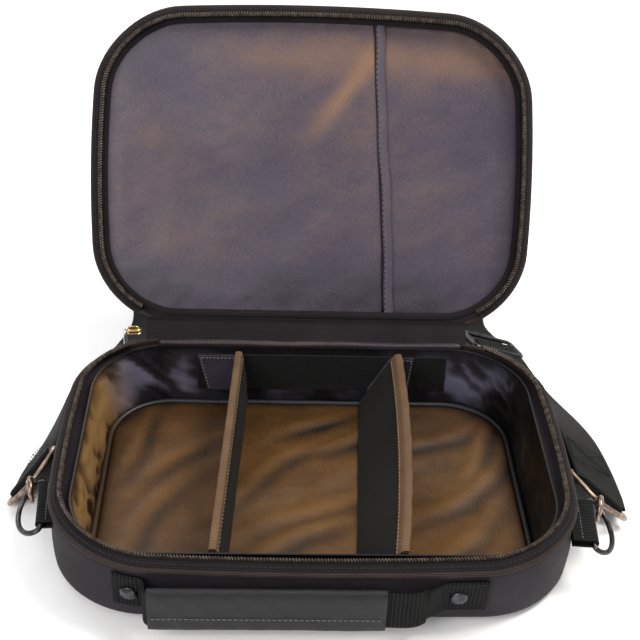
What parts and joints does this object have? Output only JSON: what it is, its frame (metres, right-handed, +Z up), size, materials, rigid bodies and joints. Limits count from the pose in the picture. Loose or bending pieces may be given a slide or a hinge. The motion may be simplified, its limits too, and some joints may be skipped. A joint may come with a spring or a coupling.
{
  "type": "zip carry case",
  "caption": "Soft-sided zip case for game miniatures, with hinged padded lid, movable padded dividers, riveted front handle and clip-on shoulder strap.",
  "frame": {"origin": "centre of the flat bottom, on the surface that the case stands on", "axes": "+X along the long side to the right as seen from the handle, +Y to the back where the lid is hinged, +Z up"},
  "size_m": [0.3655, 0.4331, 0.2261],
  "materials": {
    "nylon_cloth": "woven nylon, slightly purple black, soft sheen",
    "stiffener_board": "plain sheet board, matte",
    "bronze_satin": "satin-weave lining, bronze sheen",
    "loop_pile": "fuzzy loop pile, matte",
    "zipper_tape": "ribbed woven tape, matte",
    "zipper_coil": "moulded nylon coil, semi-gloss",
    "grey_satin": "satin-weave lining, grey purple sheen",
    "black_webbing": "ribbed woven webbing, matte",
    "dark_rivet": "domed, dark, semi-gloss",
    "gunmetal": "dark plated zinc, glossy",
    "brass": "plated brass, bright",
    "black_padding": "padded woven cloth, matte",
    "tan_binding": "folded binding tape, tan, stitched",
    "dark_leatherette": "smooth coated cloth, dark grey, semi-gloss",
    "bright_steel": "plated steel"
  },
  "bodies": {
    "base": {"base_shell": "nylon_cloth", "base_stiffener_board": "stiffener_board", "base_lining": "bronze_satin", "floor_edge_cord": "bronze_satin", "floor_board": "bronze_satin", "loop_strip_back": "loop_pile", "loop_strip_front": "loop_pile", "base_piping": "nylon_cloth", "zipper_tape_base": "zipper_tape", "zipper_coil_base": "zipper_coil", "back_edge_roll": "grey_satin", "hinge_web_base": "zipper_tape", "handle_end_left": "black_webbing", "handle_end_right": "black_webbing", "handle_rivet_left": "dark_rivet", "handle_rivet_right": "dark_rivet", "side_tab_left": "black_webbing", "side_tab_right": "black_webbing", "strap_loop_left": "gunmetal", "strap_loop_right": "gunmetal", "shoulder_strap": "black_webbing", "strap_doubled_end": "black_webbing", "strap_slide": "gunmetal", "zipper_slider": "brass"},
    "lid": {"lid_shell": "nylon_cloth", "lid_stiffener_board": "stiffener_board", "lid_lining": "grey_satin", "lid_pocket_panel": "grey_satin", "lid_pocket_hem": "grey_satin", "lid_piping": "nylon_cloth", "zipper_tape_lid": "zipper_tape", "zipper_coil_lid": "zipper_coil", "hinge_web_lid": "zipper_tape"},
    "divider_left": {"divider_left_panel": "black_padding", "divider_left_binding": "tan_binding", "divider_left_hook_tab_back": "black_padding", "divider_left_hook_tab_front": "black_padding"},
    "divider_right": {"divider_right_panel": "black_padding", "divider_right_binding": "tan_binding", "divider_right_hook_tab_back": "black_padding", "divider_right_hook_tab_front": "black_padding"},
    "handle": {"handle_webbing": "black_webbing"},
    "grip": {"handle_grip": "dark_leatherette"},
    "d_ring_left": {"d_ring_left": "gunmetal"},
    "d_ring_right": {"d_ring_right": "gunmetal"},
    "snap_hook_left": {"snap_hook_body_left": "gunmetal"},
    "snap_hook_right": {"snap_hook_body_right": "gunmetal"},
    "snap_gate_left": {"snap_hook_gate_left": "bright_steel"},
    "snap_gate_right": {"snap_hook_gate_right": "bright_steel"},
    "zipper_pull": {"zipper_pull": "bright_steel"}
  },
  "joints": [
    {"name": "lid_hinge", "type": "hinge", "parent": "base", "child": "lid", "pos_m": [0, 0.105, 0.051], "axis": [-1, 0, 0], "range_deg": [-120.5, 59]},
    {"name": "divider_left_slide", "type": "slide", "parent": "base", "child": "divider_left", "axis": [1, 0, 0], "range_m": [-0.008, 0.033]},
    {"name": "divider_right_slide", "type": "slide", "parent": "base", "child": "divider_right", "axis": [1, 0, 0], "range_m": [-0.033, 0.006]},
    {"name": "handle_pull", "type": "slide", "parent": "base", "child": "handle", "axis": [0, -1, 0], "range_m": [0, 0.026]},
    {"name": "grip_slide", "type": "slide", "parent": "handle", "child": "grip", "axis": [1, 0, 0], "range_m": [0, 0.0135]},
    {"name": "d_ring_left_swing", "type": "hinge", "parent": "base", "child": "d_ring_left", "pos_m": [-0.15049, -0.04235, 0.033], "axis": [-0.0872, 0.9962, 0], "range_deg": [-3, 10]},
    {"name": "d_ring_right_swing", "type": "hinge", "parent": "base", "child": "d_ring_right", "pos_m": [0.15397, -0.05265, 0.033], "axis": [0.0872, 0.9962, 0], "range_deg": [-10, 3]},
    {"name": "snap_hook_left_swivel", "type": "hinge", "parent": "base", "child": "snap_hook_left", "pos_m": [-0.16196, -0.01383, 0.02274], "axis": [-0.1574, 0.8925, -0.4226], "range_deg": [-15, 8]},
    {"name": "snap_gate_left_press", "type": "hinge", "parent": "snap_hook_left", "child": "snap_gate_left", "pos_m": [-0.16062, -0.02144, 0.02061], "axis": [-0.9848, -0.1736, 0], "range_deg": [0, 30], "stiffness_Nm_per_rad": 0.02, "springref_deg": -11.46},
    {"name": "snap_hook_right_swivel", "type": "hinge", "parent": "base", "child": "snap_hook_right", "pos_m": [0.16609, -0.02433, 0.02298], "axis": [0.2346, 0.8754, -0.4226], "range_deg": [-15, 12]},
    {"name": "snap_gate_right_press", "type": "hinge", "parent": "snap_hook_right", "child": "snap_gate_right", "pos_m": [0.16409, -0.0318, 0.02084], "axis": [-0.9659, 0.2588, 0], "range_deg": [0, 30], "stiffness_Nm_per_rad": 0.02, "springref_deg": -11.46},
    {"name": "zipper_pull_swing", "type": "hinge", "parent": "base", "child": "zipper_pull", "pos_m": [-0.1189, 0.1002, 0.0502], "axis": [0, 1, 0], "range_deg": [-20, 100]}
  ]
}
